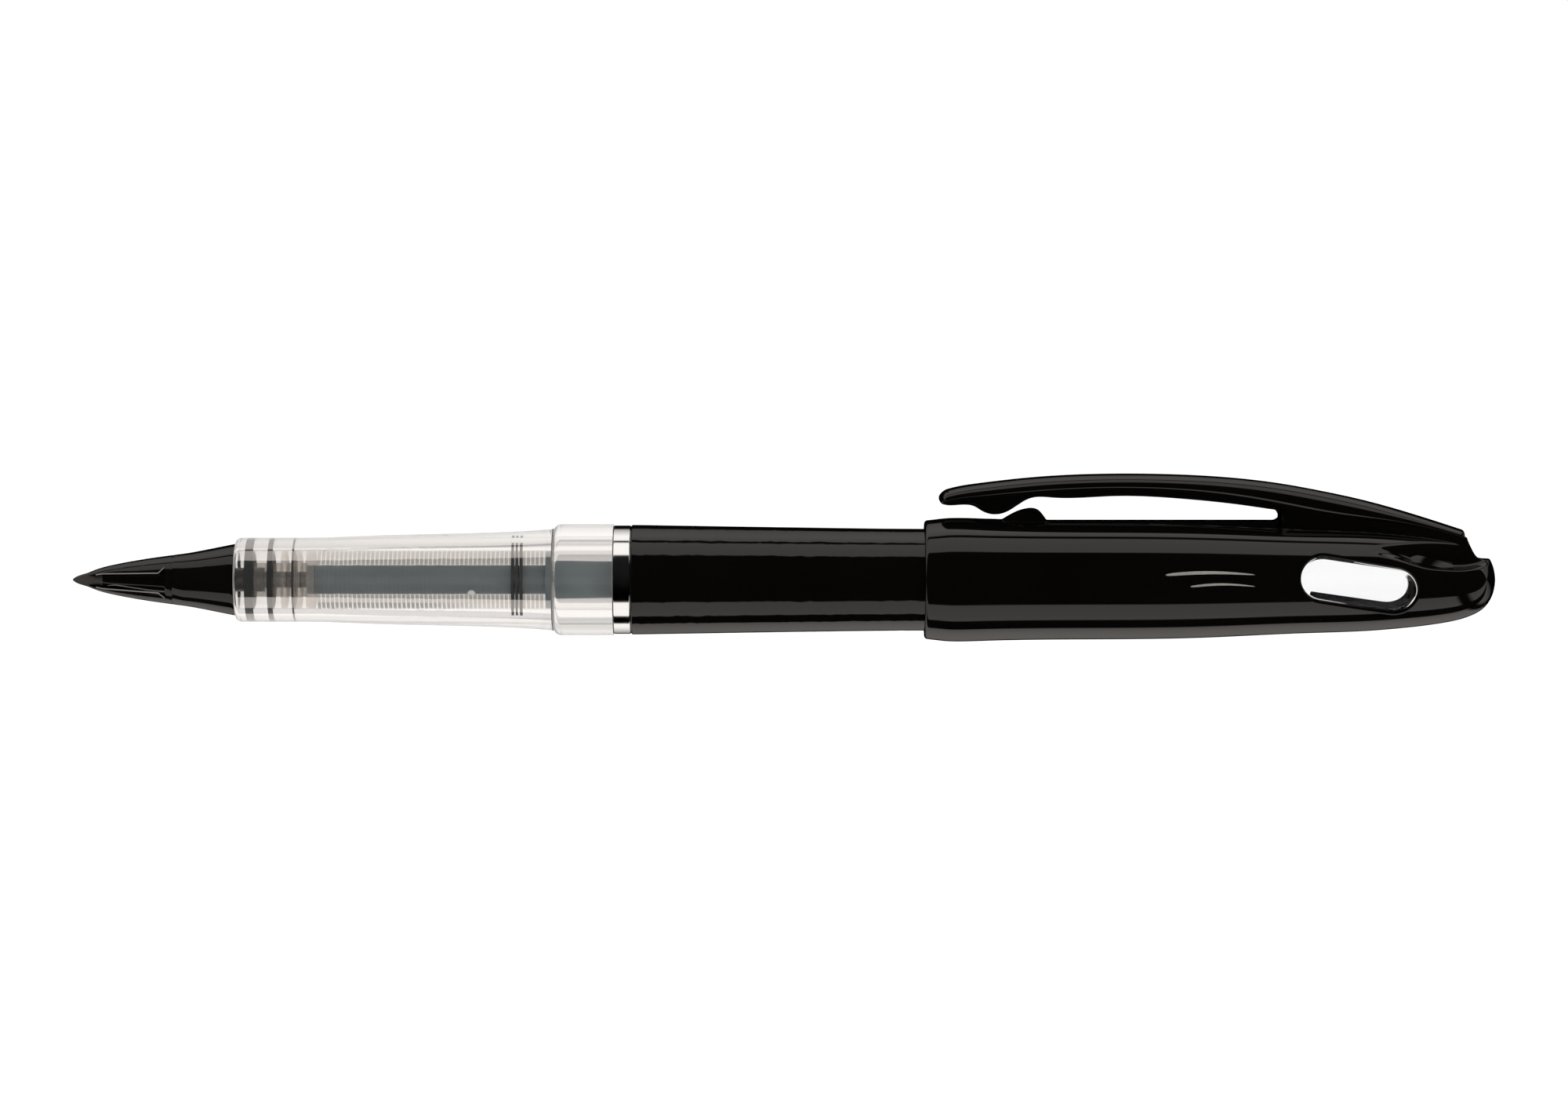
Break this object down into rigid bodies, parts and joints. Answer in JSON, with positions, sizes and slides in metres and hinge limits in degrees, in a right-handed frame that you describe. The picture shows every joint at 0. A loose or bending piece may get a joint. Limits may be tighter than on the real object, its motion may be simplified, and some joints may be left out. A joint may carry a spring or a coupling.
{
  "type": "brush pen",
  "caption": "Brush pen with a pointed fibre nib between two wings, a clear ink-collector grip and a posted clip cap.",
  "frame": {"origin": "on the pen's axis, at the middle of the cap seat, the widest collar of the clear grip", "axes": "+X along the axis from the nib to the tail, +Z the clip side, +Y completes a right-handed frame"},
  "size_m": [0.1601, 0.014, 0.019],
  "materials": {
    "nib_fibre": "sintered fibre soaked with black ink",
    "holder_black": "fine satin moulding",
    "clear_plastic": "clear, polished",
    "collector_milky": "translucent moulding, stained by ink",
    "core_slate": "fibre soaked with ink",
    "seal_rubber": "smooth",
    "ring_chrome": "mirror plating",
    "tank_natural": "natural polyethylene",
    "ink_black": "liquid",
    "gloss_black": "high gloss moulding"
  },
  "bodies": {
    "barrel": {"barrel": "gloss_black"},
    "trim_ring": {"trim_ring": "ring_chrome"},
    "section": {"grip_section": "clear_plastic", "nib": "nib_fibre", "nib_holder": "holder_black", "ink_core": "core_slate", "collector": "collector_milky", "seal_ring_front": "seal_rubber", "seal_ring_rear": "seal_rubber", "ink_tank": "tank_natural", "tank_plug": "tank_natural", "ink_charge": "ink_black"},
    "cap": {"cap_shell": "gloss_black", "window_front": "clear_plastic", "window_back": "clear_plastic", "inner_cap": "clear_plastic"},
    "clip": {"clip": "gloss_black"}
  },
  "joints": [
    {"name": "cap_pull", "type": "slide", "parent": "barrel", "child": "cap", "axis": [1, 0, 0], "range_m": [0, 0.045]},
    {"name": "clip_flex", "type": "hinge", "parent": "cap", "child": "clip", "pos_m": [0.0783, 0, 0.00933], "axis": [0, 1, 0], "range_deg": [-0.6, 5], "stiffness_Nm_per_rad": 0.2},
    {"name": "ring_advance", "type": "slide", "parent": "barrel", "child": "trim_ring", "axis": [-1, 0, 0], "range_m": [0, 0.0048]},
    {"name": "section_unscrew", "type": "hinge", "parent": "trim_ring", "child": "section", "pos_m": [0.0085, 0, 0], "axis": [-1, 0, 0], "range_deg": [0, 1440]}
  ],
  "couplings": [
    {"joint": "section_unscrew", "follows": "ring_advance", "rad_per_m": 5236}
  ]
}
